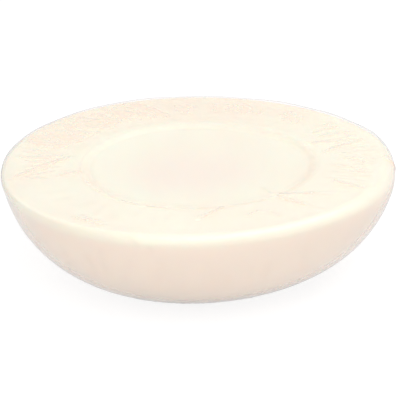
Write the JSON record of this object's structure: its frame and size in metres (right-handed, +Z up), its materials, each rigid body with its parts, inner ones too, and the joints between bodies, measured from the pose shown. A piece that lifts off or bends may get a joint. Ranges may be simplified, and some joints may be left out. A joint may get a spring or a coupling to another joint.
{
  "type": "shaving soap puck",
  "caption": "Round refill puck of hard shaving soap with a bowl-shaped underside, a rounded rim and a shallow dish in its flat top, sealed in clear shrink film.",
  "frame": {"origin": "centre of the wrapped foot's flat underside, on the axis of revolution", "axes": "+Z up along the axis of revolution, +X to the right and -Y towards the front as the object is usually seen"},
  "size_m": [0.0842, 0.0842, 0.0228],
  "materials": {
    "soap": "cream hard soap, smooth and waxy, with a faint pinkish warmth",
    "film": "clear, glossy shrink film with fine radial wrinkles",
    "weld": "cloudy melted film edge"
  },
  "bodies": {
    "root": {"soap_puck": "soap", "film_upper_web": "film", "film_lower_web": "film", "film_weld_bead": "weld"}
  },
  "joints": []
}
